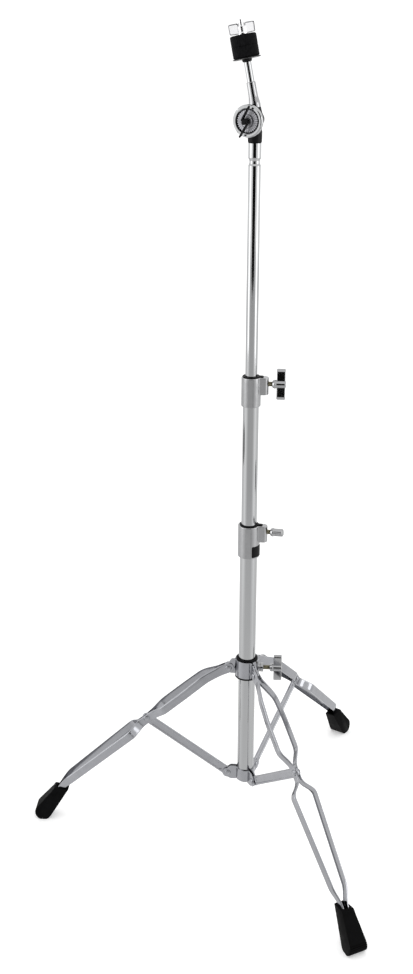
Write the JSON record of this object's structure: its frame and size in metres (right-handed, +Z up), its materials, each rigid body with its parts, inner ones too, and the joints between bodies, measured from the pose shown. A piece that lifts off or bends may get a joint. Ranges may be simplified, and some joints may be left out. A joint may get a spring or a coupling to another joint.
{
  "type": "cymbal stand",
  "caption": "Straight cymbal stand: folding double-braced tripod, telescoping tube column with clamps and T-bolts, ratchet tilter and a threaded rod holding a cymbal between felts.",
  "frame": {"origin": "on the floor, in the middle of the rectangle that the three feet fill; the column stands 88 mm towards +X from it", "axes": "+Z up along the column, leg 1 towards -X, legs 2 and 3 at 60 degrees either side of +X; the bolts' wings are towards +X"},
  "size_m": [0.5792, 0.6688, 1.3536],
  "materials": {
    "tube_chrome": "mirror polished",
    "cast_chrome": "polished, softly rounded",
    "leg_chrome": "polished pressed sheet",
    "bolt_dark": "dark polished",
    "steel": "satin",
    "black_nylon": "smooth, slightly glossy",
    "black_badge": "glossy, blank",
    "foot_rubber": "matte",
    "felt": "felt"
  },
  "bodies": {
    "column_base": {"base_tube": "tube_chrome", "base_end_plug": "black_nylon", "base_clamp": "cast_chrome", "base_bushing": "black_nylon", "clamp_badge": "black_badge", "lower_plate_1": "leg_chrome", "lower_plate_2": "leg_chrome", "lower_plate_3": "leg_chrome", "lower_pins": "leg_chrome"},
    "base_t_bolt": {"base_t_bolt": "bolt_dark"},
    "tripod_collar": {"collar_plate_1": "leg_chrome", "collar_plate_2": "leg_chrome", "collar_plate_3": "leg_chrome", "collar_bushing": "black_nylon", "collar_boss": "cast_chrome", "collar_pins": "leg_chrome"},
    "collar_t_bolt": {"collar_t_bolt": "bolt_dark"},
    "mid_glide": {"mid_glide": "black_nylon"},
    "mid_column": {"mid_tube": "tube_chrome", "mid_clamp": "cast_chrome", "mid_bushing": "black_nylon"},
    "mid_t_bolt": {"mid_t_bolt": "bolt_dark"},
    "top_glide": {"top_glide": "black_nylon"},
    "top_column": {"top_tube": "tube_chrome", "tilter_socket": "bolt_dark", "ratchet_cup": "cast_chrome", "ratchet_plate": "bolt_dark", "tilter_spring": "steel", "tilter_bolt": "steel"},
    "tilter_wing_nut": {"tilter_washer": "cast_chrome", "tilter_wing_nut": "bolt_dark"},
    "tilter_arm": {"tilter_arm": "cast_chrome", "cymbal_rod": "tube_chrome", "rod_sleeve": "black_nylon", "cup_washer": "cast_chrome", "lower_felt": "felt"},
    "upper_felt": {"upper_felt": "felt"},
    "cymbal_wing_nut": {"cymbal_wing_nut": "cast_chrome"},
    "brace_1": {"brace_1": "leg_chrome"},
    "leg_1": {"leg_1_strip_left": "leg_chrome", "leg_1_strip_right": "leg_chrome", "leg_1_rivet": "leg_chrome", "foot_1": "foot_rubber"},
    "brace_2": {"brace_2": "leg_chrome"},
    "leg_2": {"leg_2_strip_left": "leg_chrome", "leg_2_strip_right": "leg_chrome", "leg_2_rivet": "leg_chrome", "foot_2": "foot_rubber"},
    "brace_3": {"brace_3": "leg_chrome"},
    "leg_3": {"leg_3_strip_left": "leg_chrome", "leg_3_strip_right": "leg_chrome", "leg_3_rivet": "leg_chrome", "foot_3": "foot_rubber"}
  },
  "joints": [
    {"name": "tripod_fold", "type": "hinge", "parent": "column_base", "child": "brace_1", "pos_m": [0.05653, 0, 0.107], "axis": [0, 1, 0], "range_deg": [-12, 46]},
    {"name": "brace_2_pivot", "type": "hinge", "parent": "column_base", "child": "brace_2", "pos_m": [0.10303, 0.02685, 0.107], "axis": [0.866, -0.5, 0], "range_deg": [-12, 46]},
    {"name": "brace_3_pivot", "type": "hinge", "parent": "column_base", "child": "brace_3", "pos_m": [0.10303, -0.02685, 0.107], "axis": [-0.866, -0.5, 0], "range_deg": [-12, 46]},
    {"name": "leg_1_pivot", "type": "hinge", "parent": "brace_1", "child": "leg_1", "pos_m": [-0.08547, 0, 0.212], "axis": [0, 1, 0], "range_deg": [-92, 24]},
    {"name": "leg_2_pivot", "type": "hinge", "parent": "brace_2", "child": "leg_2", "pos_m": [0.17403, 0.14982, 0.212], "axis": [0.866, -0.5, 0], "range_deg": [-92, 24]},
    {"name": "leg_3_pivot", "type": "hinge", "parent": "brace_3", "child": "leg_3", "pos_m": [0.17403, -0.14982, 0.212], "axis": [-0.866, -0.5, 0], "range_deg": [-92, 24]},
    {"name": "collar_pivot", "type": "hinge", "parent": "leg_1", "child": "tripod_collar", "pos_m": [0.05653, 0, 0.317], "axis": [0, 1, 0], "range_deg": [-12, 46]},
    {"name": "collar_bolt_spin", "type": "hinge", "parent": "tripod_collar", "child": "collar_t_bolt", "pos_m": [0.13753, 0, 0.319], "axis": [1, 0, 0], "continuous": true},
    {"name": "base_bolt_spin", "type": "hinge", "parent": "column_base", "child": "base_t_bolt", "pos_m": [0.13527, -0.00502, 0.572], "axis": [0.9945, -0.1045, 0], "continuous": true},
    {"name": "mid_slide", "type": "slide", "parent": "column_base", "child": "mid_glide", "axis": [0, 0, 1], "range_m": [-0.2, 0.1]},
    {"name": "mid_swivel", "type": "hinge", "parent": "mid_glide", "child": "mid_column", "pos_m": [0.08753, 0, 0.6], "axis": [0, 0, 1], "continuous": true},
    {"name": "mid_bolt_spin", "type": "hinge", "parent": "mid_column", "child": "mid_t_bolt", "pos_m": [0.1355, -0.00168, 0.822], "axis": [0.9994, -0.0349, 0], "continuous": true},
    {"name": "top_slide", "type": "slide", "parent": "mid_column", "child": "top_glide", "axis": [0, 0, 1], "range_m": [-0.315, 0.06]},
    {"name": "top_swivel", "type": "hinge", "parent": "top_glide", "child": "top_column", "pos_m": [0.08753, 0, 1], "axis": [0, 0, 1], "continuous": true},
    {"name": "cymbal_tilt", "type": "hinge", "parent": "top_column", "child": "tilter_arm", "pos_m": [0.08753, 0, 1.218], "axis": [-0.3746, -0.9272, 0], "range_deg": [-102, 78]},
    {"name": "tilter_nut_spin", "type": "hinge", "parent": "top_column", "child": "tilter_wing_nut", "pos_m": [0.07404, -0.03338, 1.218], "axis": [-0.3746, -0.9272, 0], "continuous": true},
    {"name": "upper_felt_slide", "type": "slide", "parent": "tilter_arm", "child": "upper_felt", "axis": [-0.1928, 0.0779, 0.9781], "range_m": [0, 0.045]},
    {"name": "cymbal_nut_spin", "type": "hinge", "parent": "upper_felt", "child": "cymbal_wing_nut", "pos_m": [0.06625, 0.01615, 1.33929], "axis": [-0.1928, 0.0779, 0.9781], "continuous": true}
  ],
  "couplings": [
    {"joint": "brace_2_pivot", "follows": "tripod_fold", "ratio": 1},
    {"joint": "brace_3_pivot", "follows": "tripod_fold", "ratio": 1},
    {"joint": "leg_1_pivot", "follows": "tripod_fold", "ratio": -2},
    {"joint": "leg_2_pivot", "follows": "tripod_fold", "ratio": -2},
    {"joint": "leg_3_pivot", "follows": "tripod_fold", "ratio": -2},
    {"joint": "collar_pivot", "follows": "tripod_fold", "ratio": 1}
  ]
}
